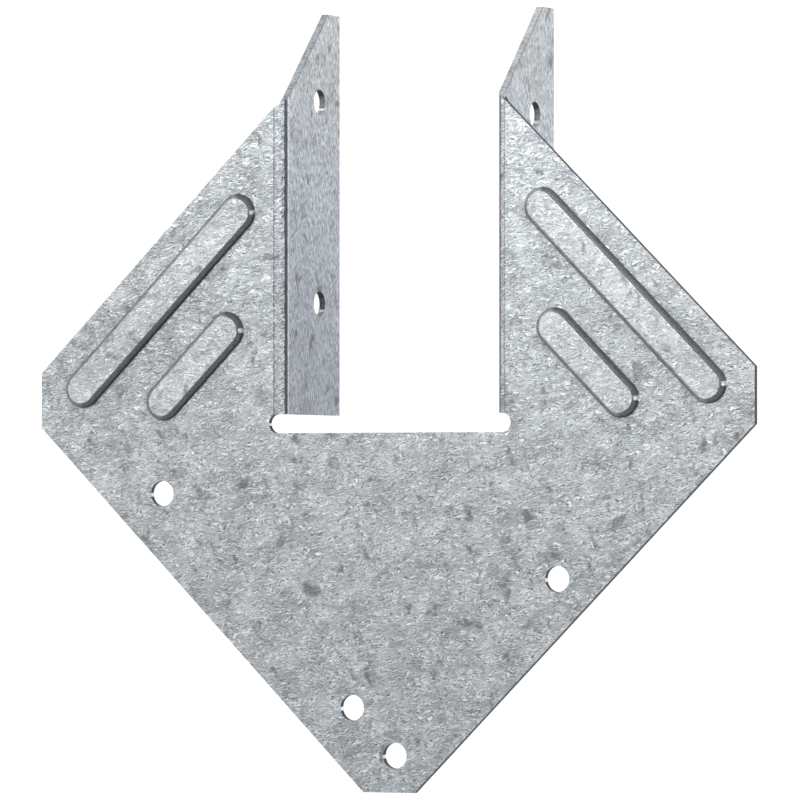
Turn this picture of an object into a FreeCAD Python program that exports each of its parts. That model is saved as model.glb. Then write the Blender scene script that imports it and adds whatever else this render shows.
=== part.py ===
"""Hurricane tie: one folded sheet of galvanised steel.

The blank is a square standing on its corner, with its four corners cut to
short flats. A relief slot crosses it, the sheet is slit from the slot up to the
top corner, and the two sides of the slit are folded back as flanges that hug
the rafter. Each wing is stiffened by two pressed beads that run along the
slanted edge.

While it is modelled, the body has X = 0 on the centre line, Y = 0 on the front
face and Z = 0 on the bottom edge. Its Placement then carries the seating face
of the plate to Y = 0, with the origin half way between the bottom edge and the
slot.
"""

import FreeCAD, Part
import math
import os
import Sketcher

NODE = "hurricane_tie"

# The driving sizes, in millimetres. Each is a cell of the sheet.
SIZES = {
    # The blank, and the sheet that it is cut from
    "blank_width": 133.35,
    "corner_flat": 9.525,
    "sheet_thickness": 1.1,
    # The opening between the flanges, and the bends at its sides
    "opening_width": 39.6,
    "inner_bend_radius": 0.97,
    "neutral_line_factor": 0.38,
    # The relief slot at the foot of the opening
    "slot_foot_height": 60.8,
    "slot_height": 3.25,
    "slot_overrun": 0.75,
    # The pressed beads of one wing: how far they lie inside the slanted edge, and how far
    # their ends' centres stay from the side corner and from the bend
    "bead_width": 6.5,
    "bead_rise": 1.1,
    "bead_round": 1.0,
    "long_bead_inset": 7.85,
    "long_bead_from_corner": 3.8,
    "long_bead_from_bend": 17.25,
    "short_bead_inset": 20.55,
    "short_bead_from_corner": 13.3,
    "short_bead_from_bend": 33.05,
    # The nail holes in the plate: two rows along the lower edges share the foot nail
    "nail_hole_diameter": 4.4,
    "left_row_inset": 8.6,
    "right_row_inset": 6.97,
    "middle_nail_run": 11.3,
    "left_nail_run": 62.6,
    "right_nail_run": 42.4,
    # The nail holes in the flanges, lower on the right so that the nails miss each other
    "flange_nail_setback": 7.9,
    "flange_nail_pitch": 34.8,
    "left_nail_drop": 15.35,
    "right_nail_drop": 18.55,
}

# A quarter turn in radians, and the slant of a square's edges when it stands on its corner
QUARTER_TURN = math.pi / 2
SLANT = math.degrees(QUARTER_TURN) / 2

# The rounding of a bead takes at most this share of its rise
ROUND_SHARE = 0.95

# How far a cutting tool reaches past the sheet
CLEAR_OF_SHEET = 0.4

# Points closer than this are the same point, and a smaller cut than this is none
MATCH = 1e-4
LEAST_CUT = 0.01

# Lengths that follow from the driving sizes, as expressions
HALF_WIDTH = "Sizes.blank_width / 2"
HALF_FLAT = "Sizes.corner_flat / 2"
HALF_OPENING = "Sizes.opening_width / 2"
OUTER_RADIUS = "(Sizes.inner_bend_radius + Sizes.sheet_thickness)"
BEND_LENGTH = ("(pi / 2 * (Sizes.inner_bend_radius"
               " + Sizes.neutral_line_factor * Sizes.sheet_thickness))")
BEND_START = f"({HALF_OPENING} + {OUTER_RADIUS})"
FLANGE_DEPTH = f"({OUTER_RADIUS} + {BEND_START} - {BEND_LENGTH})"
SLOT_MIDDLE = "(Sizes.slot_foot_height + Sizes.slot_height / 2)"
SLOT_RADIUS = "Sizes.slot_height / 2"
PLATE_TOP = f"(Sizes.blank_width + {HALF_FLAT} - {BEND_START})"
FLANGE_SLOPE_FOOT = f"({PLATE_TOP} + {BEND_LENGTH})"
WING_EDGE = f"(sqrt(2) * ({HALF_WIDTH} - {BEND_START}))"
BEAD_RADIUS = "(Sizes.bead_width / 2)"
HOLLOW_RADIUS = f"({BEAD_RADIUS} - Sizes.sheet_thickness)"
BEAD_ROUND = f"min(Sizes.bead_round; {ROUND_SHARE} * Sizes.bead_rise)"


def fill_sheet(document):
    """Write every driving size into its own named cell."""
    sheet = document.addObject("Spreadsheet::Sheet", "Sizes")
    for row, (alias, value) in enumerate(SIZES.items(), start=1):
        sheet.set(f"A{row}", alias)
        sheet.set(f"B{row}", str(value))
        sheet.setAlias(f"B{row}", alias)
    document.recompute()


def value_of(thing, expression):
    """The number that an expression gives now."""
    result = thing.evalExpression(expression)
    return float(getattr(result, "Value", result))


def new_sketch(body, name, plane, **offsets):
    """A sketch on one of the body's origin planes, moved by offset expressions."""
    sketch = body.newObject("Sketcher::SketchObject", name)
    support = next(item for item in body.Origin.OriginFeatures if item.Role == plane)
    sketch.AttachmentSupport = (support, [""])
    sketch.MapMode = "FlatFace"
    for axis, expression in offsets.items():
        sketch.setExpression(f"AttachmentOffset.Base.{axis}", expression)
    return sketch


def turn_sketch(sketch, degrees):
    """Turn the sketch in its own plane."""
    base = sketch.AttachmentOffset.Base
    turn = FreeCAD.Rotation(FreeCAD.Vector(0, 0, 1), degrees)
    sketch.AttachmentOffset = FreeCAD.Placement(base, turn)


def bind(sketch, kind, references, expression):
    """Add a dimension to the sketch and tie it to an expression."""
    number = sketch.addConstraint(
        Sketcher.Constraint(kind, *references, value_of(sketch, expression)))
    sketch.setExpression(f"Constraints[{number}]", expression)


def place_point(sketch, geometry, point, across, up):
    """Hold a point of the sketch at a distance across and up from its origin."""
    bind(sketch, "DistanceX", (-1, 1, geometry, point), across)
    bind(sketch, "DistanceY", (-1, 1, geometry, point), up)


def draw_outline(sketch, corners):
    """A closed outline of straight edges through corners given as expressions."""
    points = [FreeCAD.Vector(value_of(sketch, x), value_of(sketch, y), 0)
              for x, y in corners]
    count = len(points)
    edges = [sketch.addGeometry(Part.LineSegment(points[i], points[(i + 1) % count]))
             for i in range(count)]
    for i, edge in enumerate(edges):
        following = edges[(i + 1) % count]
        sketch.addConstraint(Sketcher.Constraint("Coincident", edge, 2, following, 1))
    for edge, (x, y) in zip(edges, corners):
        place_point(sketch, edge, 1, x, y)


def draw_circles(sketch, centres, diameter):
    """Equal circles at centres given as expressions."""
    radius = value_of(sketch, diameter) / 2
    circles = []
    for x, y in centres:
        centre = FreeCAD.Vector(value_of(sketch, x), value_of(sketch, y), 0)
        circle = sketch.addGeometry(Part.Circle(centre, FreeCAD.Vector(0, 0, 1), radius))
        place_point(sketch, circle, 3, x, y)
        circles.append(circle)
    bind(sketch, "Diameter", (circles[0],), diameter)
    for circle in circles[1:]:
        sketch.addConstraint(Sketcher.Constraint("Equal", circles[0], circle))


def draw_round_ended_slot(sketch, start, run, height, radius):
    """A level slot outline with half-round ends, from its first end's centre."""
    x = value_of(sketch, start)
    y = value_of(sketch, height)
    length = value_of(sketch, run)
    r = value_of(sketch, radius)
    left = FreeCAD.Vector(x, y, 0)
    right = FreeCAD.Vector(x + length, y, 0)
    up = FreeCAD.Vector(0, r, 0)
    normal = FreeCAD.Vector(0, 0, 1)
    near_end = sketch.addGeometry(
        Part.ArcOfCircle(Part.Circle(left, normal, r), QUARTER_TURN, 3 * QUARTER_TURN))
    foot = sketch.addGeometry(Part.LineSegment(left - up, right - up))
    far_end = sketch.addGeometry(
        Part.ArcOfCircle(Part.Circle(right, normal, r), -QUARTER_TURN, QUARTER_TURN))
    crown = sketch.addGeometry(Part.LineSegment(right + up, left + up))
    for first, its_point, second, other_point in ((near_end, 2, foot, 1), (foot, 2, far_end, 1),
                                                  (far_end, 2, crown, 1), (crown, 2, near_end, 1)):
        sketch.addConstraint(
            Sketcher.Constraint("Tangent", first, its_point, second, other_point))
    sketch.addConstraint(Sketcher.Constraint("Equal", near_end, far_end))
    sketch.addConstraint(Sketcher.Constraint("Horizontal", foot))
    place_point(sketch, near_end, 3, start, height)
    bind(sketch, "DistanceX", (near_end, 3, far_end, 3), run)
    bind(sketch, "Radius", (near_end,), radius)


def add_feature(body, kind, name, sketch, **settings):
    """A feature of the body made from a sketch."""
    feature = body.newObject(kind, name)
    feature.Profile = (sketch, [""])
    for key, setting in settings.items():
        setattr(feature, key, setting)
    return feature


def check_cut(feature):
    """Stop if a cut took nothing away."""
    feature.Document.recompute()
    if feature.Shape.Volume >= feature.BaseFeature.Shape.Volume - LEAST_CUT:
        raise RuntimeError(f"{feature.Label} cuts nothing")


def middle_of(edge):
    """The point half way along an edge."""
    return edge.valueAt((edge.FirstParameter + edge.LastParameter) / 2)


def outer_edges(feature, outermost):
    """Names of the edges that a pad or pocket leaves where its outline lies outermost in Y."""
    tool = feature.AddSubShape.copy()
    tool.Placement = feature.Placement.multiply(tool.Placement)
    level = outermost(vertex.Y for vertex in tool.Vertexes)
    outlines = [point for point in map(middle_of, tool.Edges) if abs(point.y - level) < MATCH]
    return [f"Edge{number}" for number, edge in enumerate(feature.Shape.Edges, start=1)
            if any(middle_of(edge).distanceToPoint(point) < MATCH for point in outlines)]


# Plate
def add_plate(body):
    """The left half of the flat plate, out to the bend, with its cut corners."""
    sketch = new_sketch(body, "PlateOutline", "XZ_Plane")
    draw_outline(sketch, (
        ("0", "0"),
        ("0", SLOT_MIDDLE),
        (f"-{BEND_START}", SLOT_MIDDLE),
        (f"-{BEND_START}", PLATE_TOP),
        (f"-{HALF_WIDTH}", f"{HALF_WIDTH} + {HALF_FLAT}"),
        (f"-{HALF_WIDTH}", f"{HALF_WIDTH} - {HALF_FLAT}"),
        (f"-{HALF_FLAT}", "0"),
    ))
    plate = add_feature(body, "PartDesign::Pad", "Plate", sketch, Reversed=True)
    plate.setExpression("Length", "Sizes.sheet_thickness")
    body.Document.recompute()


# Bend and flange
def add_bend(body):
    """The quarter turn between the plate and the flange."""
    sketch = new_sketch(body, "BendSection", "XY_Plane", z=SLOT_MIDDLE)
    centre = FreeCAD.Vector(-value_of(sketch, BEND_START), value_of(sketch, OUTER_RADIUS), 0)
    outer = value_of(sketch, OUTER_RADIUS)
    inner = value_of(sketch, "Sizes.inner_bend_radius")
    normal = FreeCAD.Vector(0, 0, 1)
    towards_front = FreeCAD.Vector(0, -1, 0)
    towards_opening = FreeCAD.Vector(1, 0, 0)
    skin = sketch.addGeometry(
        Part.ArcOfCircle(Part.Circle(centre, normal, outer), -QUARTER_TURN, 0))
    throat = sketch.addGeometry(
        Part.ArcOfCircle(Part.Circle(centre, normal, inner), -QUARTER_TURN, 0))
    plate_end = sketch.addGeometry(
        Part.LineSegment(centre + towards_front * inner, centre + towards_front * outer))
    flange_end = sketch.addGeometry(
        Part.LineSegment(centre + towards_opening * outer, centre + towards_opening * inner))
    for first, its_point, second, other_point in ((plate_end, 1, throat, 1), (plate_end, 2, skin, 1),
                                                  (flange_end, 1, skin, 2), (flange_end, 2, throat, 2),
                                                  (skin, 3, throat, 3)):
        sketch.addConstraint(
            Sketcher.Constraint("Coincident", first, its_point, second, other_point))
    sketch.addConstraint(Sketcher.Constraint("Vertical", plate_end))
    sketch.addConstraint(Sketcher.Constraint("Horizontal", flange_end))
    sketch.addConstraint(Sketcher.Constraint("Vertical", skin, 1, skin, 3))
    sketch.addConstraint(Sketcher.Constraint("Horizontal", skin, 2, skin, 3))
    place_point(sketch, skin, 3, f"-{BEND_START}", OUTER_RADIUS)
    bind(sketch, "Radius", (skin,), OUTER_RADIUS)
    bind(sketch, "Radius", (throat,), "Sizes.inner_bend_radius")
    bend = add_feature(body, "PartDesign::Pad", "Bend", sketch)
    bend.setExpression("Length", f"{FLANGE_SLOPE_FOOT} + {CLEAR_OF_SHEET} - {SLOT_MIDDLE}")
    body.Document.recompute()


def slope_bend_top(body):
    """Carry the blank's slanted edge round the bend: over the quarter turn it climbs by
    the bend's length, as a helix of four times that pitch does.
    """
    sketch = new_sketch(body, "BendTopSection", "YZ_Plane", x=OUTER_RADIUS, z=f"-{BEND_START}")
    outside = f"-({OUTER_RADIUS} + {CLEAR_OF_SHEET})"
    inside = "-(Sizes.inner_bend_radius / 2)"
    above = f"{FLANGE_SLOPE_FOOT} + 2 * {CLEAR_OF_SHEET}"
    draw_outline(sketch, ((outside, PLATE_TOP), (inside, PLATE_TOP),
                          (inside, above), (outside, above)))
    slope = add_feature(body, "PartDesign::SubtractiveHelix", "BendTopSlope", sketch)
    slope.ReferenceAxis = (sketch, ["V_Axis"])
    slope.Mode = "pitch-height-angle"
    slope.setExpression("Pitch", f"4 * {BEND_LENGTH}")
    slope.setExpression("Height", BEND_LENGTH)
    slope.Angle = 0
    check_cut(slope)


def add_flange(body):
    """The flange: its top shows the blank's slanted edge and cut corner."""
    sketch = new_sketch(body, "FlangeOutline", "YZ_Plane", z=f"-{HALF_OPENING}")
    draw_outline(sketch, (
        (OUTER_RADIUS, SLOT_MIDDLE),
        (FLANGE_DEPTH, SLOT_MIDDLE),
        (FLANGE_DEPTH, "Sizes.blank_width"),
        (f"{FLANGE_DEPTH} - {HALF_FLAT}", "Sizes.blank_width"),
        (OUTER_RADIUS, FLANGE_SLOPE_FOOT),
    ))
    flange = add_feature(body, "PartDesign::Pad", "Flange", sketch, Reversed=True)
    flange.setExpression("Length", "Sizes.sheet_thickness")
    body.Document.recompute()


# Beads
def new_bead_sketch(body, name, radius, **offsets):
    """Outlines of the long and the short bead, drawn along the slanted edge."""
    sketch = new_sketch(body, name, "XZ_Plane",
                        x=f"-{HALF_WIDTH}", y=f"{HALF_WIDTH} + {HALF_FLAT}", **offsets)
    turn_sketch(sketch, SLANT)
    for bead in ("long", "short"):
        start = f"Sizes.{bead}_bead_from_corner"
        run = f"{WING_EDGE} - {start} - Sizes.{bead}_bead_from_bend"
        draw_round_ended_slot(sketch, start, run, f"-Sizes.{bead}_bead_inset", radius)
    return sketch


def round_edges(body, name, feature, outermost):
    """Round the crown of a raised bead or the rim of its hollow."""
    rounding = body.newObject("PartDesign::Fillet", name)
    rounding.Base = (feature, outer_edges(feature, outermost))
    rounding.setExpression("Radius", BEAD_ROUND)
    body.Document.recompute()


def add_beads(body):
    """Two beads raised on the front of the wing and hollow behind. The crown is rounded in
    front and the rim behind, so the sheet keeps its thickness through the step.
    """
    front = new_bead_sketch(body, "BeadOutlines", BEAD_RADIUS)
    raised = add_feature(body, "PartDesign::Pad", "RaisedBeads", front)
    raised.setExpression("Length", "Sizes.bead_rise")
    body.Document.recompute()
    round_edges(body, "BeadCrowns", raised, min)

    back = new_bead_sketch(body, "HollowOutlines", HOLLOW_RADIUS, z="-Sizes.sheet_thickness")
    hollow = add_feature(body, "PartDesign::Pocket", "BeadHollows", back, Reversed=True)
    hollow.setExpression("Length", "Sizes.bead_rise")
    check_cut(hollow)
    round_edges(body, "HollowRims", hollow, max)


def add_right_half(body):
    """The right half of the folded sheet is the mirror image of the left."""
    mirror = body.newObject("PartDesign::Mirrored", "RightHalf")
    mirror.TransformMode = "Whole shape"
    plane = next(item for item in body.Origin.OriginFeatures if item.Role == "YZ_Plane")
    mirror.MirrorPlane = (plane, [""])
    body.Tip = mirror
    body.Document.recompute()


# Relief slot
def cut_relief_slot(body):
    """The slot at the foot of the opening runs just past both bends, and its crown
    is the lower end of the flanges.
    """
    end_centre = f"({BEND_START} + Sizes.slot_overrun - {SLOT_RADIUS})"
    sketch = new_sketch(body, "SlotOutline", "XZ_Plane")
    draw_round_ended_slot(sketch, f"-{end_centre}", f"2 * {end_centre}", SLOT_MIDDLE, SLOT_RADIUS)
    slot = add_feature(body, "PartDesign::Pocket", "ReliefSlot", sketch)
    slot.setExpression("Length", f"{FLANGE_DEPTH} + {CLEAR_OF_SHEET}")
    check_cut(slot)


# Nail holes
def cut_plate_holes(body):
    """Four nail holes: a row of three by the left lower edge, and two by the right."""
    sketch = new_sketch(body, "PlateHoleCentres", "XZ_Plane", y=f"-{HALF_FLAT}")
    turn_sketch(sketch, SLANT)
    foot = ("Sizes.left_row_inset", "Sizes.right_row_inset")
    draw_circles(sketch, (
        foot,
        (foot[0], f"{foot[1]} + Sizes.middle_nail_run"),
        (foot[0], f"{foot[1]} + Sizes.left_nail_run"),
        (f"{foot[0]} + Sizes.right_nail_run", foot[1]),
    ), "Sizes.nail_hole_diameter")
    holes = add_feature(body, "PartDesign::Pocket", "PlateNailHoles", sketch)
    holes.setExpression("Length", "Sizes.sheet_thickness")
    check_cut(holes)


def cut_flange_holes(body, side, top_drop, towards_right):
    """Two nail holes, one above the other, in one flange."""
    sketch = new_sketch(body, f"{side}FlangeHoleCentres", "YZ_Plane")
    depth = f"{FLANGE_DEPTH} - Sizes.flange_nail_setback"
    top = f"Sizes.blank_width - {top_drop}"
    draw_circles(sketch, ((depth, top), (depth, f"{top} - Sizes.flange_nail_pitch")),
                 "Sizes.nail_hole_diameter")
    holes = add_feature(body, "PartDesign::Pocket", f"{side}FlangeNailHoles", sketch,
                        Reversed=towards_right)
    holes.setExpression("Length", f"{HALF_OPENING} + Sizes.sheet_thickness")
    check_cut(holes)


def build_tie(document):
    """The whole tie as one body."""
    body = document.addObject("PartDesign::Body", "HurricaneTie")
    body.Label = NODE
    add_plate(body)
    add_bend(body)
    slope_bend_top(body)
    add_flange(body)
    add_beads(body)
    add_right_half(body)
    cut_relief_slot(body)
    cut_plate_holes(body)
    cut_flange_holes(body, "Left", "Sizes.left_nail_drop", False)
    cut_flange_holes(body, "Right", "Sizes.right_nail_drop", True)
    body.setExpression("Placement.Base.y", "-Sizes.sheet_thickness")
    body.setExpression("Placement.Base.z", "-Sizes.slot_foot_height / 2")
    document.recompute()
    return body


def check_document(document):
    """Stop if any object of the document failed to build."""
    for item in document.Objects:
        if "Invalid" in item.State or "Error" in item.State:
            raise RuntimeError(f"{item.Label} failed: {item.State}")


def export(body):
    """Write the body's shape to its own file."""
    shape = body.Shape
    if shape.isNull() or not shape.isValid() or len(shape.Solids) != 1:
        raise RuntimeError(f"{body.Label} is not one valid solid")
    os.makedirs("parts", exist_ok=True)
    shape.exportStep(os.path.join("parts", f"{body.Label}.step"))
    box = shape.BoundBox
    print(f"{body.Label}: volume {shape.Volume:.1f}, faces {len(shape.Faces)}")
    print(f"X {box.XMin:.3f} {box.XMax:.3f}  Y {box.YMin:.3f} {box.YMax:.3f}"
          f"  Z {box.ZMin:.3f} {box.ZMax:.3f}")


document = FreeCAD.newDocument("HurricaneTie")
fill_sheet(document)
tie = build_tie(document)
check_document(document)
export(tie)
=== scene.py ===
# %% [markdown]
# A hurricane tie is one sheet of galvanised steel. It is cut, pierced and folded so that two
# flanges hug a rafter while the plate is nailed to the wall below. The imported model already
# holds that sheet at its real size, with its bends, its pressed beads, its slot and its holes.
# So no shape is built again here: the work is the zinc, the light on it and the photograph's view.

import math
from types import SimpleNamespace

import bpy
import numpy as np
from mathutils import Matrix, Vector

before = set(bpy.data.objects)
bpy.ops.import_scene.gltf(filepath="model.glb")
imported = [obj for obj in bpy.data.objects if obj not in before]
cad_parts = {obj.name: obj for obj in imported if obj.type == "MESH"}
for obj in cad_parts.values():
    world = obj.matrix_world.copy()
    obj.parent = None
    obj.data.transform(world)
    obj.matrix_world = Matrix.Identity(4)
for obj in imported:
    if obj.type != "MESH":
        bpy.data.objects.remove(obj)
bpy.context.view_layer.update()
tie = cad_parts["hurricane_tie"]

# %% [markdown]
# The photograph was taken with a long lens from the front and 25 degrees to the tie's right, a
# little above its slot. The tie's corners give the camera's place and its focal length in
# pixels. The lens follows from the width of the sensor. The camera tips up by less than one
# degree instead of shifting its picture, which leaves the upright edges upright within a pixel.

# %% Camera
SENSOR_WIDTH_MM = 36
PICTURE_WIDTH = 800
FOCAL_LENGTH_PIXELS = 6287.8
HORIZON_BELOW_MIDDLE = 103.4
CAMERA_PLACE = (0.45716, -0.96018, 0.01843)
CAMERA_TURN = 0.443

camera_data = bpy.data.cameras.new("camera")
camera_data.sensor_width = SENSOR_WIDTH_MM
camera_data.lens = SENSOR_WIDTH_MM * FOCAL_LENGTH_PIXELS / PICTURE_WIDTH
camera = bpy.data.objects.new("camera", camera_data)
bpy.context.scene.collection.objects.link(camera)
camera.location = CAMERA_PLACE
camera_tip = math.atan(HORIZON_BELOW_MIDDLE / FOCAL_LENGTH_PIXELS)
camera.rotation_euler = (math.pi / 2 + camera_tip, 0, CAMERA_TURN)
bpy.context.scene.camera = camera
print("camera: lens", round(camera_data.lens, 1), "mm, tipped",
      round(math.degrees(camera_tip), 2), "degrees")

# %% [markdown]
# Every pattern on the zinc is worked out in the material from the place on the tie, in
# millimetres, and from the way the surface faces. Nodes could be placed by hand, but a script
# gives the same material each time. A few small helpers keep its code readable: they add a node
# and wire it, do maths and make a noise. A number or a socket can go into any of them.

# %% Node helpers
def plug(tree, value, socket):
    """Set a socket to a number, or wire another socket into it."""
    if isinstance(value, bpy.types.NodeSocket):
        tree.links.new(value, socket)
    else:
        socket.default_value = value


def add_node(tree, kind, inputs=None, **settings):
    """A node with its settings, and its inputs given by name or by number."""
    made = tree.nodes.new(kind)
    for key, setting in settings.items():
        setattr(made, key, setting)
    for key, value in (inputs or {}).items():
        plug(tree, value, made.inputs[key])
    return made


def maths(tree, operation, *values, clamp=False):
    """The result of one maths node."""
    made = add_node(tree, "ShaderNodeMath", dict(enumerate(values)),
                    operation=operation, use_clamp=clamp)
    return made.outputs[0]


def vector_maths(tree, operation, *values, scale=None):
    """The result of one vector maths node. Only SCALE takes a scale."""
    made = add_node(tree, "ShaderNodeVectorMath", dict(enumerate(values)), operation=operation)
    if scale is not None:
        plug(tree, scale, made.inputs["Scale"])
    return made.outputs[0]


def noise(tree, vector, scale, detail=2.0, roughness=0.5, distortion=0.0, output=0):
    """A noise texture's value, or with output 1 its colour as three loose values."""
    made = add_node(tree, "ShaderNodeTexNoise",
                    {"Vector": vector, "Scale": scale, "Detail": detail,
                     "Roughness": roughness, "Distortion": distortion})
    return made.outputs[output]


print("made the node helpers")

# %% [markdown]
# The zinc doesn't look the same everywhere. The plate and the beads' tops show short flakes, the
# flanges show fine streaks along their length, the walls of the beads are darkened by painted
# shade, and the sheared edges show darker steel. A painted dark line and a painted highlight run
# along each bend, and a painted glint lies in each hole. Painting those by hand would need a
# map. Here one group reads them off the shape: the sheet lies between two known faces, so the
# place and the facing are enough to tell a cut edge from a bead's wall.

# %% The sheet's measures
# Millimetres: X from the middle, Y from the plate's back face, Z up
SHEET_FRONT = -1.1  # Y of the plate's front face
BEAD_HEIGHT = 1.1  # of a bead's crown over the front face
FLANGE_START = 0.97  # Y where a bend ends and its flange begins
OPENING_HALF = 19.8  # X of a flange's inner face
BEND_START = 21.87  # X where a bend leaves the plate
FLANGE_FOOT = 30.4  # Z of the opening's foot
SLANT_LEVEL = 87.05  # Z less Y, the same all along a flange's slanted edge
HALF_WIDTH = 66.675  # X of the plate's side corners
print("sheet: from", SHEET_FRONT, "mm to 0, bends from", BEND_START, "mm off the middle")

# %% Place, facing and ticks
TICK_SLOPE = math.radians(30)
TICKS_PER_MM = (1.3, 1.3, 4.5)


def read_sheet(tree, given):
    """The parts of the place and of the facing, each facing's size without its sign, and the
    ticks: a noise of fine slanted strokes, where the die and the punches dragged on the skin.
    """
    place, facing = given.outputs["Place"], given.outputs["Facing"]
    across, depth, level = add_node(tree, "ShaderNodeSeparateXYZ", {0: place}).outputs
    right, back, up = add_node(tree, "ShaderNodeSeparateXYZ", {0: facing}).outputs
    sideways, frontal, upright = (maths(tree, "ABSOLUTE", part) for part in (right, back, up))
    turned = add_node(tree, "ShaderNodeMapping", {"Vector": place, "Rotation": (0, TICK_SLOPE, 0)})
    strokes = vector_maths(tree, "MULTIPLY", turned.outputs[0], TICKS_PER_MM)
    return SimpleNamespace(
        place=place, across=across, depth=depth, level=level, right=right, back=back, up=up,
        outward=maths(tree, "ABSOLUTE", across), sideways=sideways, frontal=frontal,
        upright=upright, ticks=noise(tree, strokes, 1.0, roughness=0.6))


print("made read_sheet")

# %% [markdown]
# A mask says where a finish lies: 1 inside its region and 0 outside. It is made from smooth
# steps, because a hard step would show as a jagged edge. The product of masks is the region
# that they share, and the larger of two masks is the region that either covers.

# %% Mask helpers
def step_between(tree, value, low, high):
    """0 below low, 1 above high and a smooth climb between. It falls if low is above high."""
    return add_node(tree, "ShaderNodeMapRange", {0: value, 1: low, 2: high},
                    interpolation_type="SMOOTHSTEP").outputs[0]


def product(tree, first, *others):
    """The first value times all the others."""
    for other in others:
        first = maths(tree, "MULTIPLY", first, other)
    return first


def band(tree, value, start, full, fading, end):
    """A step up from start to full, times a step down from fading to end."""
    return product(tree, step_between(tree, value, start, full),
                   step_between(tree, value, end, fading))


def larger(tree, first, second):
    """The larger of two values."""
    return maths(tree, "MAXIMUM", first, second)


def outside(tree, mask):
    """1 minus the mask."""
    return maths(tree, "SUBTRACT", 1.0, mask)


def mix_value(tree, mask, first, second):
    """A number: the first times 1 minus the mask, plus the second times the mask."""
    made = add_node(tree, "ShaderNodeMix", {0: mask, 2: first, 3: second}, data_type="FLOAT")
    return made.outputs[0]


print("made the mask helpers")

# %% [markdown]
# A sheared edge lies between the sheet's two faces and looks along the sheet. The blade tore its
# zinc away, so the plate's edges show dark steel all round, with painted shade in its colour. On
# the flanges and the bends, painted shade makes an edge that looks down the darkest, and one
# that looks up much lighter.

# %% Cut edges
def find_edges(tree, sheet):
    """The plate's edges are between its faces and don't face to the front or the back. The
    flanges' edges are behind the bend and don't face sideways. The bend's own skin is always
    upright, so its edges are what faces up or down there. Edge darkness is painted shade by
    facing: full where an edge looks down, less where it is level and least where it looks up.
    Masks that later cells need too are kept on the sheet.
    """
    between_faces = band(tree, sheet.depth, SHEET_FRONT - 0.06, SHEET_FRONT - 0.02, 0.05, 0.1)
    sheet.plate_edge = product(tree, between_faces, step_between(tree, sheet.frontal, 0.35, 0.25))
    sheet.behind_bend = step_between(tree, sheet.depth, FLANGE_START - 0.02, FLANGE_START + 0.02)
    sheet.flange_edge = product(
        tree, sheet.behind_bend, step_between(tree, sheet.sideways, 0.5, 0.3))
    sheet.in_bend = band(tree, sheet.outward, OPENING_HALF - 0.1, OPENING_HALF - 0.05,
                         BEND_START, BEND_START + 0.05)
    bend_edge = product(tree, sheet.in_bend, step_between(tree, sheet.upright, 0.3, 0.5),
                        step_between(tree, sheet.depth, FLANGE_START + 0.02, FLANGE_START - 0.02))
    down_facing_shade = mix_value(tree, step_between(tree, sheet.up, -0.6, -0.4), 1.0, 0.8)
    up_facing_light = product(tree, step_between(tree, sheet.up, 0.34, 0.42), 0.42)
    edge_darkness = maths(tree, "SUBTRACT", down_facing_shade, up_facing_light)
    folded_edge = product(tree, larger(tree, sheet.flange_edge, bend_edge), edge_darkness)
    return larger(tree, sheet.plate_edge, folded_edge)


print("made find_edges")

# %% [markdown]
# A bead's wall leaves the front face and turns towards the sheet's plane. Painted shade darkens
# it from the crown down, most where it faces right, and most of all at the steep foot of a wall
# that faces down. The back of the sheet has the same walls inside the beads' hollows.

# %% Walls of the beads
def find_walls(tree, sheet):
    """A wall lies before the front face, or sunk below the back face in a hollow, and is
    turned out of the sheet's plane. The results are the wall times its painted shade, that
    times what faces up, and that times what is steep and faces down: the painted foot shade.
    """
    upper_side = step_between(tree, sheet.up, -0.05, 0.15)
    right_side = step_between(tree, sheet.right, -0.1, 0.1)
    right_turn = mix_value(tree, upper_side, 0.965, 0.982)
    turned = mix_value(tree, right_side, step_between(tree, sheet.frontal, 0.9985, 0.93),
                       step_between(tree, sheet.frontal, 0.9995, right_turn))
    on_wing = step_between(tree, sheet.outward, BEND_START, BEND_START + 0.5)
    raised = step_between(tree, sheet.depth, SHEET_FRONT - 0.01, SHEET_FRONT - 0.05)
    sunk = step_between(tree, sheet.depth, 0.0, -0.04)
    hollow = product(tree, sunk, outside(tree, sheet.plate_edge))
    sheet.wall = product(tree, turned, on_wing, larger(tree, raised, hollow))
    left_wall_shade = mix_value(tree, upper_side, 0.78, 0.66)
    wall_shade = product(tree, sheet.wall, mix_value(tree, right_side, left_wall_shade, 1.0))
    steep = step_between(tree, sheet.frontal, 0.62, 0.38)
    foot = product(tree, steep, wall_shade, outside(tree, upper_side))
    return wall_shade, product(tree, wall_shade, upper_side), foot


print("made find_walls")

# %% [markdown]
# Some spots get painted glints. Where a bead's wall faces straight to the right, a painted glint
# lies on it in streaks. Each hole gets one painted glint, a bright bar low on its wall. Lamps
# could draw them as reflections, but only for one camera, so masks place them on the tie.

# %% Painted glints
def find_specks(tree, sheet):
    """Walls that face right and neither up nor down, times streaks made from the ticks."""
    off_level = maths(tree, "SUBTRACT", sheet.upright, product(tree, sheet.right, 0.12))
    streaks = mix_value(tree, step_between(tree, sheet.ticks, 0.42, 0.58), 0.25, 0.95)
    return product(tree, sheet.wall, streaks, step_between(tree, off_level, 0.03, -0.03),
                   step_between(tree, sheet.right, 0.35, 0.5))


def find_bars(tree, sheet):
    """In the holes of the plate, what faces right and about level. In those of the flanges,
    what faces the front and a little up.
    """
    in_hole = step_between(tree, sheet.outward, HALF_WIDTH - 0.1, HALF_WIDTH - 0.3)
    plate_bar = product(tree, sheet.plate_edge, in_hole, step_between(tree, sheet.right, 0.35, 0.5),
                        band(tree, sheet.up, -0.08, -0.04, 0.22, 0.26))
    flange_bar = product(tree, sheet.flange_edge, step_between(tree, sheet.back, 0.0, -0.1),
                         band(tree, sheet.up, 0.42, 0.46, 0.56, 0.60))
    return larger(tree, plate_bar, flange_bar)


print("made find_specks and find_bars")
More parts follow.
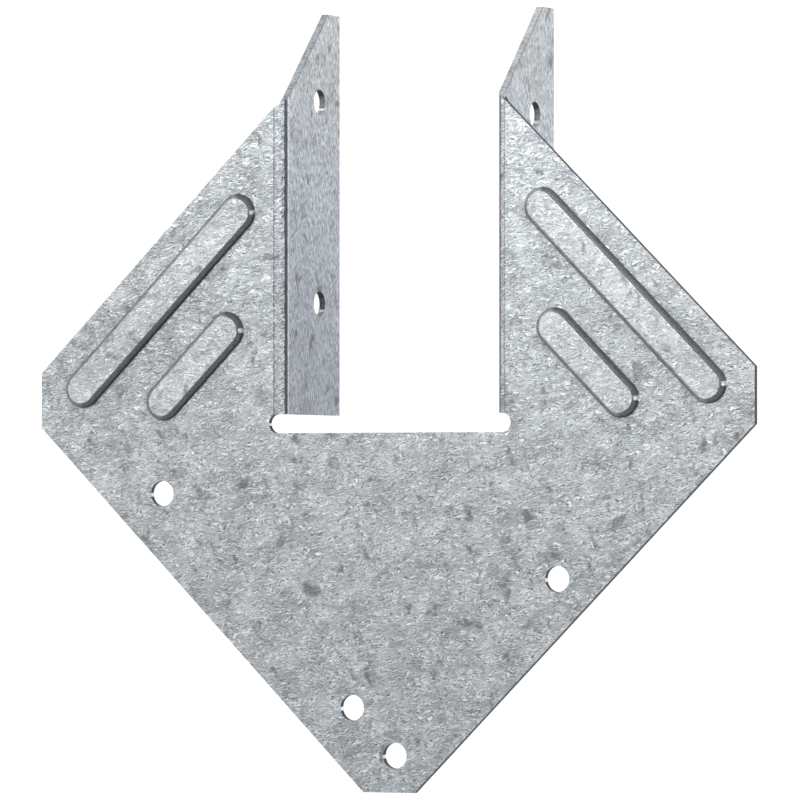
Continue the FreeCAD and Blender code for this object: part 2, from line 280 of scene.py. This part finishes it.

# %% [markdown]
# Across a bend, the skin turns from the front to the side, so how far it faces sideways says
# where on the bend a point is. A dark line is painted there as a dark reflection, and a painted
# highlight behind it. On the left bend, painted shade darkens the skin in broken patches, fine
# ticks cross the dark line, and a thin line runs before it. A faint line marks where each bend
# leaves the plate, and the shears leave a burr on the flange beside its slanted edge.

# %% Painted lines of the bends
def find_painted_bend_lines(tree, sheet):
    """Bands of the sideways facing, times the bend: a painted dark reflection and a painted
    highlight. The dark line starts earlier where a slow noise is high, and the bright line is
    broken up by the ticks.
    """
    sheet.right_half = maths(tree, "GREATER_THAN", sheet.across, 0.0)
    sheet.left_bend = product(tree, sheet.in_bend, outside(tree, sheet.right_half))
    line_start = mix_value(tree, sheet.right_half, 0.85, 0.64)
    wavering = maths(tree, "MULTIPLY_ADD", noise(tree, sheet.place, 1.3), 0.16,
                     maths(tree, "SUBTRACT", sheet.sideways, 0.08))
    before_line = maths(tree, "SUBTRACT", line_start, 0.02)
    painted_dark_line = product(tree, step_between(tree, wavering, before_line, line_start),
                        step_between(tree, sheet.sideways, 0.980, 0.968), sheet.in_bend,
                        mix_value(tree, sheet.right_half, 0.88, 1.0))
    broken = mix_value(tree, step_between(tree, sheet.ticks, 0.4, 0.6), 0.3, 0.7)
    painted_bright_line = product(tree, band(tree, sheet.sideways, 0.974, 0.982, 0.9990, 0.9998),
                          sheet.in_bend, broken)
    return painted_dark_line, painted_bright_line


print("made find_painted_bend_lines")

# %% Painted shade of the left bend
def find_bend_shade(tree, sheet, painted_dark_line):
    """On the left bend, a coarse noise breaks up a band of painted shade. Close to the dark line
    the ticks' low values are dark strokes, and their high values outside the line are bright ones.
    """
    breakup_noise = noise(tree, sheet.place, 3.0, detail=3.0, roughness=0.7)
    painted_bend_shade = product(tree, sheet.left_bend, band(tree, sheet.sideways, 0.02, 0.06, 0.1, 0.85),
                      step_between(tree, breakup_noise, 0.42, 0.60))
    near_line = product(tree, sheet.left_bend, band(tree, sheet.sideways, 0.4, 0.6, 0.86, 0.90))
    dark_ticks = product(tree, near_line, step_between(tree, sheet.ticks, 0.48, 0.40))
    off_line = maths(tree, "SUBTRACT", near_line, painted_dark_line, clamp=True)
    bright_ticks = product(tree, off_line, step_between(tree, sheet.ticks, 0.50, 0.58))
    return larger(tree, painted_bend_shade, dark_ticks), bright_ticks


print("made find_bend_shade")

# %% Fine lines and burr
def find_fine_lines(tree, sheet):
    """The faint line is a step of the distance from its place. The thin line is a band of the
    sideways facing, and the burr a step of the distance below the slanted edge.
    """
    line_place = mix_value(tree, sheet.right_half, BEND_START - 0.18, BEND_START - 0.4)
    beside_line = maths(tree, "ABSOLUTE", maths(tree, "SUBTRACT", sheet.outward, line_place))
    faint_line = product(tree, step_between(tree, beside_line, 0.14, 0.05),
                         step_between(tree, sheet.depth, SHEET_FRONT + 0.2, SHEET_FRONT + 0.1),
                         step_between(tree, sheet.level, FLANGE_FOOT - 0.1, FLANGE_FOOT),
                         mix_value(tree, sheet.right_half, 0.6, 0.45))
    thin_line = product(tree, sheet.left_bend, band(tree, sheet.sideways, 0.68, 0.70, 0.74, 0.76))
    slant_height = maths(tree, "SUBTRACT", sheet.level, sheet.depth)
    below_slant = maths(tree, "SUBTRACT", SLANT_LEVEL, slant_height)
    burr = product(tree, step_between(tree, below_slant, 0.42, 0.28), sheet.behind_bend,
                   step_between(tree, sheet.sideways, 0.9, 0.99))
    lines = larger(tree, faint_line, product(tree, thin_line, 0.2))
    return larger(tree, lines, product(tree, burr, 0.6))


print("made find_fine_lines")

# %% [markdown]
# The masks are joined in one node group. The material could hold all these nodes itself, but
# then no one could see at a glance which mask goes into which colour.

# %% Group helper
def new_group(name, inputs, outputs):
    """An empty node group with named sockets, and its two end nodes."""
    tree = bpy.data.node_groups.new(name, "ShaderNodeTree")
    for label, kind, start in inputs:
        made = tree.interface.new_socket(label, in_out="INPUT", socket_type=kind)
        if start is not None:
            made.default_value = start
    for label, kind in outputs:
        tree.interface.new_socket(label, in_out="OUTPUT", socket_type=kind)
    return tree, tree.nodes.new("NodeGroupInput"), tree.nodes.new("NodeGroupOutput")


print("made new_group")

# %% Regions of the sheet
REGION_NAMES = ("Cut edge", "Painted wall shade", "Upper wall", "Painted foot shade", "Painted glint", "Flange",
                "Die marks and painted line", "Painted bend shade and ticks")


def build_regions():
    """The masks from the cells above, joined: the painted glint mask is the largest of the
    specks, the bars, the painted bright line and the bright ticks, and a cut edge is one without
    bars.
    """
    tree, given, result = new_group(
        "SheetRegions",
        [("Place", "NodeSocketVector", None), ("Facing", "NodeSocketVector", None)],
        [(name, "NodeSocketFloat") for name in REGION_NAMES])
    sheet = read_sheet(tree, given)
    edges = find_edges(tree, sheet)
    wall_shade, upper_wall, painted_foot_shade = find_walls(tree, sheet)
    bars = find_bars(tree, sheet)
    bright_walls = larger(tree, find_specks(tree, sheet), bars)
    painted_dark_line, painted_bright_line = find_painted_bend_lines(tree, sheet)
    bend_shade_and_ticks, bright_ticks = find_bend_shade(tree, sheet, painted_dark_line)
    bright_bends = larger(tree, painted_bright_line, product(tree, bright_ticks, 0.6))
    cut = product(tree, edges, outside(tree, bars))
    painted_glints = larger(tree, bright_walls, bright_bends)
    flange = step_between(tree, sheet.sideways, 0.90, 0.925)
    marks_and_painted_line = larger(tree, painted_dark_line, find_fine_lines(tree, sheet))
    masks = (cut, wall_shade, upper_wall, painted_foot_shade, painted_glints, flange, marks_and_painted_line, bend_shade_and_ticks)
    for name, mask in zip(REGION_NAMES, masks):
        plug(tree, mask, result.inputs[name])
    return tree


regions_group = build_regions()
print("regions:", [item.name for item in regions_group.interface.items_tree])

# %% [markdown]
# Galvanised zinc freezes into tiny flakes. On this sheet they look like short curly hairs, most
# of them lying sideways. Each hair gets a painted highlight on one side and painted shade on
# the other. Stretched noise gives long shapes, and folding its value at the middle turns each
# slope into a thin crest. A slower noise bends the coordinates first, so that the hairs curl,
# and a still slower one makes whole patches of them lighter or darker. The flanges use the same
# group, stretched along their length.

# %% Hairs
HAIR_HALF_WIDTH = 0.07
MIDDLE_OF_NOISE = 0.5


def hair_crests(tree, spot):
    """1 where a noise crosses its middle, and 0 where it is off it by the hair's half width."""
    value = noise(tree, spot, 1.0, detail=1.5, roughness=0.55)
    off_middle = maths(tree, "ABSOLUTE", maths(tree, "SUBTRACT", value, MIDDLE_OF_NOISE))
    return step_between(tree, off_middle, HAIR_HALF_WIDTH, 0.0)


print("made hair_crests")

# %% Flakes
# Where each hair's painted shade lies, against its painted highlight
PAINTED_SHADE_SHIFT = (0.12, 0.35, 0.4)


def build_flakes():
    """Height and tone of the flakes. Place is in millimetres, Stretch holds flakes per
    millimetre along X, Y and Z, Curl is how far they wander in millimetres, Swirl is how many
    turns the wandering makes per millimetre, Painted relief is how strong each hair's painted
    highlight and shade are, and Clouds is how much whole patches differ. Height is a coarse
    noise plus the hairs' crests. Tone is that noise, plus the crests less the same crests moved
    aside, which paints a highlight and a shade on each hair, plus the patches.
    """
    tree, given, result = new_group(
        "ZincFlakes",
        [("Place", "NodeSocketVector", None), ("Stretch", "NodeSocketVector", (1.0, 1.0, 1.0)),
         ("Curl", "NodeSocketFloat", 0.3), ("Swirl", "NodeSocketFloat", 0.8),
         ("Painted relief", "NodeSocketFloat", 1.0), ("Clouds", "NodeSocketFloat", 0.5)],
        [("Height", "NodeSocketFloat"), ("Tone", "NodeSocketFloat")])
    place = given.outputs["Place"]
    wander = noise(tree, place, given.outputs["Swirl"], detail=1.0, output=1)
    centred = vector_maths(tree, "SUBTRACT", wander, (MIDDLE_OF_NOISE,) * 3)
    pushed = vector_maths(tree, "SCALE", centred, scale=given.outputs["Curl"])
    curled = vector_maths(tree, "ADD", place, pushed)
    bent = vector_maths(tree, "MULTIPLY", curled, given.outputs["Stretch"])
    hairs = hair_crests(tree, bent)
    shades = hair_crests(tree, vector_maths(tree, "ADD", bent, PAINTED_SHADE_SHIFT))
    coarse = noise(tree, bent, 0.8, detail=1.0)
    patches = noise(tree, place, 0.22, detail=3.0, roughness=0.6)
    plug(tree, maths(tree, "MULTIPLY_ADD", coarse, 0.8, product(tree, hairs, 0.25)),
         result.inputs["Height"])
    # Painted highlight and shade of each hair: its crest less the crest moved aside
    strength = product(tree, step_between(tree, coarse, 0.35, 0.6), given.outputs["Painted relief"])
    painted_relief = product(tree, maths(tree, "SUBTRACT", hairs, shades), strength)
    coarse_tone = maths(tree, "SUBTRACT", coarse, MIDDLE_OF_NOISE)
    even = maths(tree, "MULTIPLY_ADD", coarse_tone, 0.3, 0.5)
    patch_tone = maths(tree, "SUBTRACT", patches, MIDDLE_OF_NOISE)
    cloudy = maths(tree, "MULTIPLY_ADD", patch_tone, given.outputs["Clouds"], painted_relief)
    plug(tree, maths(tree, "ADD", even, cloudy), result.inputs["Tone"])
    return tree


flakes_group = build_flakes()
print("flakes:", len(flakes_group.nodes), "nodes")

# %% [markdown]
# Darker grey spots a few millimetres wide are scattered over the zinc. They come from a noise of
# about that size, of which only the peaks stay. Its finer octaves break the spots up, so that
# none has a round outline, and a wide step keeps their edges soft.

# %% Dark spots
SPOT_EDGE = 0.18


def build_spots():
    """A mask of soft-edged spots. Size holds spots per millimetre along X, Y and Z, and Cover
    is the noise's level at which a spot begins. It is full at Cover plus the spot's edge.
    """
    tree, given, result = new_group(
        "DarkSpots",
        [("Place", "NodeSocketVector", None), ("Size", "NodeSocketVector", (0.3, 0.3, 0.3)),
         ("Cover", "NodeSocketFloat", 0.6)],
        [("Mask", "NodeSocketFloat")])
    stretched = vector_maths(tree, "MULTIPLY", given.outputs["Place"], given.outputs["Size"])
    peaks = noise(tree, stretched, 1.0, detail=3.0, roughness=0.55, distortion=0.4)
    full = maths(tree, "ADD", given.outputs["Cover"], SPOT_EDGE)
    plug(tree, step_between(tree, peaks, given.outputs["Cover"], full), result.inputs["Mask"])
    return tree


spots_group = build_spots()
print("spots:", len(spots_group.nodes), "nodes")

# %% [markdown]
# The material places the groups. On the plate the flakes lie nearly sideways and slope a
# little, and on the flanges they are fine streaks along the length, as the rolls and the bath
# left them. Both are worked out everywhere, and the flange's mask chooses between them.

# %% Galvanised zinc
MM_PER_METRE = 1000


def place_group(tree, group, inputs):
    """A group placed in a material, with its own values."""
    made = tree.nodes.new("ShaderNodeGroup")
    made.node_tree = group
    for key, value in inputs.items():
        plug(tree, value, made.inputs[key])
    return made


material = bpy.data.materials.new("galvanised_zinc")
material.use_nodes = True
tree = material.node_tree
tree.nodes.clear()
coordinates = add_node(tree, "ShaderNodeTexCoord")
place_mm = vector_maths(tree, "SCALE", coordinates.outputs["Object"], scale=MM_PER_METRE)
regions = place_group(tree, regions_group, {
    "Place": place_mm, "Facing": coordinates.outputs["Normal"]}).outputs
on_flange = regions["Flange"]
print("zinc:", len(regions), "masks placed")

# %% Flakes and spots of the zinc
FLAKE_SLOPE = math.radians(13)
sloping = add_node(tree, "ShaderNodeMapping", {
    "Vector": place_mm, "Rotation": (0, FLAKE_SLOPE, 0)}).outputs[0]
plate_flakes = place_group(tree, flakes_group, {
    "Place": sloping, "Stretch": (0.6, 2.0, 4.1), "Curl": 1.7, "Swirl": 0.5,
    "Painted relief": 0.55, "Clouds": 0.42}).outputs
flange_flakes = place_group(tree, flakes_group, {
    "Place": place_mm, "Stretch": (2.4, 3.0, 0.55), "Curl": 0.2, "Swirl": 0.4,
    "Painted relief": 0.42, "Clouds": 0.28}).outputs
tone = mix_value(tree, on_flange, plate_flakes["Tone"], flange_flakes["Tone"])
height = mix_value(tree, on_flange, plate_flakes["Height"], flange_flakes["Height"])
plate_spots, flange_spots = (
    place_group(tree, spots_group, {"Place": place_mm, "Size": size, "Cover": cover}).outputs[0]
    for size, cover in (((0.38, 0.3, 0.34), 0.565), ((0.5, 0.36, 0.29), 0.555)))
spots = mix_value(tree, on_flange, plate_spots, flange_spots)
print("zinc: flakes and spots placed,", len(tree.nodes), "nodes so far")

# %% [markdown]
# Colours are written as they show on a screen, and one function turns them into linear light,
# which the renderer works with. They are laid over each other from the widest to the
# smallest, so that a cut edge or a die's mark isn't hidden by the flakes: the flakes' light and
# dark, with each hair's painted highlight and shade, the spots, the bluer flanges with painted
# shade low down and on the right one's outer face, then the painted shade, dark lines and
# glints on the beads and bends, and the cut edges.

# %% Colours
def on_screen(red, green, blue):
    """A linear colour from 0 to 255 screen values. The values over 255, plus 0.055, are
    divided by 1.055 and raised to the power 2.4, and dark ones are divided by 12.92.
    """
    parts = np.array([red, green, blue]) / 255
    linear = np.where(parts <= 0.04045, parts / 12.92, ((parts + 0.055) / 1.055) ** 2.4)
    return (*linear.tolist(), 1.0)


ZINC_DARK = on_screen(112, 117, 121)
ZINC_LIGHT = on_screen(225, 230, 234)
SPOT_GREY = on_screen(97, 98, 97)
# Bare steel of the cut edges, darkened with painted shade
CUT_STEEL_AND_SHADE = on_screen(57, 58, 61)
# Painted shade on the beads' walls, in two greys, and a darker one at their feet
PAINTED_WALL_DARK = on_screen(61, 62, 64)
PAINTED_WALL_LIGHT = on_screen(96, 97, 99)
PAINTED_FOOT_SHADE = on_screen(38, 38, 40)
# The bends' painted dark reflection, also the colour of the die's fine lines and the burr
DIE_MARK_AND_PAINTED_LINE = on_screen(54, 62, 74)
# The white of the painted glints
PAINTED_GLINT_WHITE = on_screen(240, 242, 244)
print("light zinc as linear light:", [round(part, 3) for part in ZINC_LIGHT[:3]])

# %% Colour of the flakes, the spots and the flanges
FLANGE_TINT = (0.95, 0.97, 1.022, 1.0)
# Bluer near the foot, and darker there as painted shade
FLANGE_FOOT_TINT_AND_SHADE = (0.73, 0.745, 0.792, 1.0)
TINT_FADES_MM = (105.0, 60.0)
FOOT_SHADE_BEGINS_MM = (72.0, 36.0)
# Where the right flange's outer face gets painted shade
RIGHT_FACE_SHADE_MM = (20.3, 20.6)


def blend(tree, mask, first, second):
    """A colour: the first times 1 minus the mask, plus the second times the mask."""
    made = add_node(tree, "ShaderNodeMix", {0: mask, 6: first, 7: second}, data_type="RGBA")
    return made.outputs[2]


tone_spread = add_node(tree, "ShaderNodeMapRange", {0: tone, 1: 0.28, 2: 0.72}).outputs[0]
zinc = blend(tree, tone_spread, ZINC_DARK, ZINC_LIGHT)
spot_strength = mix_value(tree, on_flange, 0.75, 0.8)
zinc = blend(tree, product(tree, spots, spot_strength), zinc, SPOT_GREY)
across_mm, depth_mm, height_mm = add_node(tree, "ShaderNodeSeparateXYZ", {0: place_mm}).outputs
# The flanges are tinted bluer low down, and painted shade darkens them toward the foot
tinted = product(tree, on_flange, step_between(tree, height_mm, *TINT_FADES_MM))
near_foot = step_between(tree, height_mm, *FOOT_SHADE_BEGINS_MM)
tint_and_shade = blend(tree, near_foot, FLANGE_TINT, FLANGE_FOOT_TINT_AND_SHADE)
zinc = blend(tree, tinted, zinc, vector_maths(tree, "MULTIPLY", zinc, tint_and_shade))
# Painted shade darkens the right flange's outer face a little
right_face_shade = product(tree, on_flange, step_between(tree, across_mm, *RIGHT_FACE_SHADE_MM))
zinc = blend(tree, product(tree, right_face_shade, 0.13), zinc, ZINC_DARK)
print("zinc: flakes, spots and flanges coloured,", len(tree.nodes), "nodes so far")

# %% Colour of the marks
CROWN_DEPTH = SHEET_FRONT - BEAD_HEIGHT
# Painted shade darkens the left bend in broken patches, with dark ticks near its line
zinc = blend(tree, product(tree, regions["Painted bend shade and ticks"], 0.7), zinc, ZINC_DARK)
# The beads' crowns are lightened a tenth of the way toward that white
crown = step_between(tree, depth_mm, CROWN_DEPTH + 0.2, CROWN_DEPTH + 0.05)
zinc = blend(tree, product(tree, crown, 0.10), zinc, PAINTED_GLINT_WHITE)
# Painted shade on the beads' walls, varied between two greys by a noise, darkest at the steep foot
# of walls that face down
scuffs = step_between(tree, noise(tree, place_mm, 3.0, detail=3.0, roughness=0.7), 0.3, 0.7)
wall_shade_colour = blend(tree, scuffs, PAINTED_WALL_DARK, PAINTED_WALL_LIGHT)
zinc = blend(tree, regions["Painted wall shade"], zinc, wall_shade_colour)
zinc = blend(tree, product(tree, regions["Painted foot shade"], 0.75), zinc, PAINTED_FOOT_SHADE)
# The painted dark line of each bend, with the faint line, the thin line and the burr
zinc = blend(tree, regions["Die marks and painted line"], zinc, DIE_MARK_AND_PAINTED_LINE)
# Painted glints on the walls, in the holes and on the bends
zinc = blend(tree, product(tree, regions["Painted glint"], 0.85), zinc, PAINTED_GLINT_WHITE)
# Cut edges: bare steel with painted shade, darkest where they look down
zinc = blend(tree, regions["Cut edge"], zinc, CUT_STEEL_AND_SHADE)
print("zinc: marks coloured,", len(tree.nodes), "nodes so far")

# %% [markdown]
# Zinc is a soft metal with a broad shine. Roughness is a little under a half on the flakes,
# lower on the beads' walls, higher on sheared steel and on the walls that face up, and
# lowest on the painted glints. A slight bump lifts the flakes, but not the beads' walls or the
# cut edges. Metallic is the same all over, so it is a plain number on the shader.

# %% Shine and relief of the zinc
FLAKE_ROUGHNESS = 0.42
SMOOTH_ROUGHNESS = 0.3
TORN_ROUGHNESS = 0.6
GLINT_ROUGHNESS = 0.2
FLAKE_RELIEF = 0.00022

smooth_part = larger(tree, regions["Painted wall shade"], regions["Cut edge"])
roughness = mix_value(tree, smooth_part, FLAKE_ROUGHNESS, SMOOTH_ROUGHNESS)
torn_part = larger(tree, regions["Upper wall"], regions["Cut edge"])
roughness = mix_value(tree, torn_part, roughness, TORN_ROUGHNESS)
roughness = mix_value(tree, regions["Painted glint"], roughness, GLINT_ROUGHNESS)
relief = product(tree, height, outside(tree, smooth_part))
bump = add_node(tree, "ShaderNodeBump", {
    "Strength": 1.0, "Distance": FLAKE_RELIEF, "Height": relief})
surface = add_node(tree, "ShaderNodeBsdfPrincipled", {
    "Base Color": zinc, "Metallic": 0.6, "Roughness": roughness, "Normal": bump.outputs[0]})
add_node(tree, "ShaderNodeOutputMaterial", {"Surface": surface.outputs[0]})
tie.data.materials.clear()
tie.data.materials.append(material)
print("zinc:", len(tree.nodes), "nodes on", tie.name)

# %% [markdown]
# The photograph has nothing behind the tie but white. A floor that curves up into a wall gives
# that without a corner. It is one surface worked out with numpy: a profile of floor, quarter
# circle and wall, carried sideways. The tie is held by its wall side, not stood on the floor,
# so the floor lies below it and its soft shadow falls outside the picture.

# %% A swept surface
def sweep_profile(name, profile, half_width, columns):
    """A surface from a profile of (y, z) points carried along X. The grid's point (i, j) is
    the profile's point i at the j-th of evenly spaced places along X.
    """
    across = np.linspace(-half_width, half_width, columns)
    rows = len(profile)
    points = np.empty((rows, columns, 3))
    points[..., 0] = across
    points[..., 1] = profile[:, :1]
    points[..., 2] = profile[:, 1:]
    corner = (np.arange(rows - 1)[:, None] * columns + np.arange(columns - 1)).ravel()
    faces = np.stack([corner, corner + 1, corner + columns + 1, corner + columns], axis=1)
    mesh = bpy.data.meshes.new(name)
    mesh.from_pydata(points.reshape(-1, 3).tolist(), [], faces.tolist())
    mesh.polygons.foreach_set("use_smooth", np.ones(len(faces), bool))
    return mesh


print("made sweep_profile")

# %% Floor and backdrop
FLOOR_HEIGHT = -0.16
FLOOR_FRONT = -3.0
BACKDROP_DISTANCE = 4.0
BACKDROP_TOP = 4.0
BACKDROP_HALF_WIDTH = 5.0
CURVE_RADIUS = 1.0

turns = np.linspace(0, math.pi / 2, 24)
curve = np.stack([BACKDROP_DISTANCE - CURVE_RADIUS + CURVE_RADIUS * np.sin(turns),
                  FLOOR_HEIGHT + CURVE_RADIUS * (1 - np.cos(turns))], axis=1)
profile = np.vstack([[FLOOR_FRONT, FLOOR_HEIGHT], curve, [BACKDROP_DISTANCE, BACKDROP_TOP]])
backdrop_mesh = sweep_profile("backdrop", profile, BACKDROP_HALF_WIDTH, columns=12)
backdrop = bpy.data.objects.new("backdrop", backdrop_mesh)
bpy.context.scene.collection.objects.link(backdrop)
print("backdrop:", len(backdrop.data.polygons), "faces")

# %% [markdown]
# White paper lit by white surroundings comes out a little grey. More lamps would make it white
# but would bleach the tie as well. So the paper adds a little glow of its own, which only the
# camera, mirror-like reflections and see-through surfaces get. Soft rays get none of it, so it
# sheds no light on the tie, and the paper keeps the tie's shadow.

# %% Paper white
PAPER_GLOW = 0.25
PAPER_COLOUR = (0.9, 0.9, 0.9, 1.0)
WHITE = (1.0, 1.0, 1.0, 1.0)


def seen_directly(tree):
    """1 for camera, mirror and see-through rays: the three added, and held to 1 at most. The
    soft rays, which only carry light, get 0.
    """
    rays = add_node(tree, "ShaderNodeLightPath").outputs
    mirrored = maths(tree, "ADD", rays["Is Glossy Ray"], rays["Is Transmission Ray"])
    return maths(tree, "ADD", rays["Is Camera Ray"], mirrored, clamp=True)


paper = bpy.data.materials.new("backdrop_paper")
paper.use_nodes = True
paper_tree = paper.node_tree
paper_tree.nodes.clear()
glow_strength = product(paper_tree, seen_directly(paper_tree), PAPER_GLOW)
diffuse = add_node(paper_tree, "ShaderNodeBsdfDiffuse", {"Color": PAPER_COLOUR})
glow = add_node(paper_tree, "ShaderNodeEmission", {"Color": WHITE, "Strength": glow_strength})
lit_paper = add_node(paper_tree, "ShaderNodeAddShader", {
    0: diffuse.outputs[0], 1: glow.outputs[0]})
add_node(paper_tree, "ShaderNodeOutputMaterial", {"Surface": lit_paper.outputs[0]})
backdrop.data.materials.append(paper)
print("paper:", len(paper_tree.nodes), "nodes, glow", PAPER_GLOW)

# %% [markdown]
# The light is a plain studio's. Even white surroundings give most of it, because a lamp near the
# plate's plane would draw long shadows at the beads' feet. Two small lamps near the plate's
# normal, with narrow cones, make the wings brighter than the foot. One at the side lights the
# flanges, one behind to the right catches the edges, and a tiny one glints at the beads' ends.

# %% Lamps
def soft_lamp(name, place, aim, side, watts, spread=180):
    """A square lamp that looks from its place along the aim minus the place. Side is in
    metres and spread, the angle of its cone, in degrees.
    """
    data = bpy.data.lights.new(name, "AREA")
    data.shape = "RECTANGLE"
    data.spread = math.radians(spread)
    data.size, data.size_y, data.energy = side, side, watts
    lamp = bpy.data.objects.new(name, data)
    direction = Vector(aim) - Vector(place)
    lamp.rotation_euler = direction.to_track_quat("-Z", "Y").to_euler()
    lamp.location = place
    lamp.visible_camera = False
    bpy.context.scene.collection.objects.link(lamp)
    return lamp


MIDDLE = (0.0, 0.0, 0.035)
lamps = [
    soft_lamp("right_wing", (0.10, -0.34, 0.24), (0.052, 0.0, 0.108), 0.08, 0.064, spread=26),
    soft_lamp("left_wing", (-0.14, -0.33, 0.19), (-0.07, 0.0, 0.092), 0.08, 0.020, spread=28),
    soft_lamp("side_speck", (0.50, 0.05, 0.22), MIDDLE, 0.12, 0.36),
    soft_lamp("back_speck", (0.43, 0.90, 0.035), MIDDLE, 0.16, 0.1),
    soft_lamp("glint", (0.50, -0.18, 0.04), MIDDLE, 0.05, 0.06),
]
print("lamps:", {lamp.name: round(lamp.data.energy, 3) for lamp in lamps}, "watts")

# %% [markdown]
# The surroundings are one even white all round, which a dome of cloth would give in a studio.
# They light the tie a little below full white, so that its pale zinc doesn't clip, while the
# camera and reflections see full white. The Standard view shows each colour as it is written.

# %% Surroundings
LIGHT_STRENGTH = 0.96
SEEN_STRENGTH = 1.0

world = bpy.data.worlds.new("studio")
bpy.context.scene.world = world
world.use_nodes = True
sky = world.node_tree
sky.nodes.clear()
light, white = (add_node(sky, "ShaderNodeBackground", {"Color": WHITE, "Strength": strength})
                for strength in (LIGHT_STRENGTH, SEEN_STRENGTH))
surroundings = add_node(sky, "ShaderNodeMixShader", {
    0: seen_directly(sky), 1: light.outputs[0], 2: white.outputs[0]})
add_node(sky, "ShaderNodeOutputWorld", {"Surface": surroundings.outputs[0]})
bpy.context.scene.view_settings.view_transform = "Standard"
print("surroundings: light", LIGHT_STRENGTH, "and seen", SEEN_STRENGTH)
